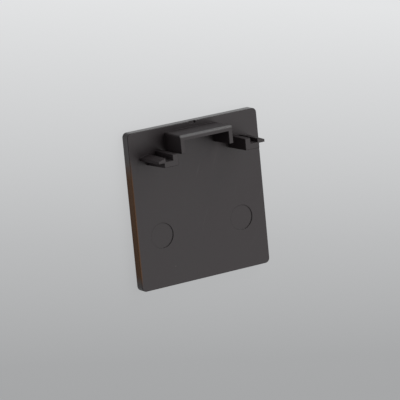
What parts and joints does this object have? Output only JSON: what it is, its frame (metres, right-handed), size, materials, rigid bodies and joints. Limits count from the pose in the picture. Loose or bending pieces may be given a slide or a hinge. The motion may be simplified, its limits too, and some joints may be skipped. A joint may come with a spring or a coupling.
{
  "type": "profile end cap",
  "caption": "Flat rectangular cap for the open end of a profile, with a push-in bridge and two barbed clips moulded on its inner face.",
  "frame": {"origin": "centre of the flat outer face, the face that shows when the cap is fitted", "axes": "+Z from the outer face to the tips of the prongs, +Y to the edge beside the bridge, +X along the bridge"},
  "size_m": [0.04, 0.0426, 0.0115],
  "materials": {
    "end_cap": "fine matt moulded grain, dark grey"
  },
  "bodies": {
    "root": {"end_cap": "end_cap"}
  },
  "joints": []
}
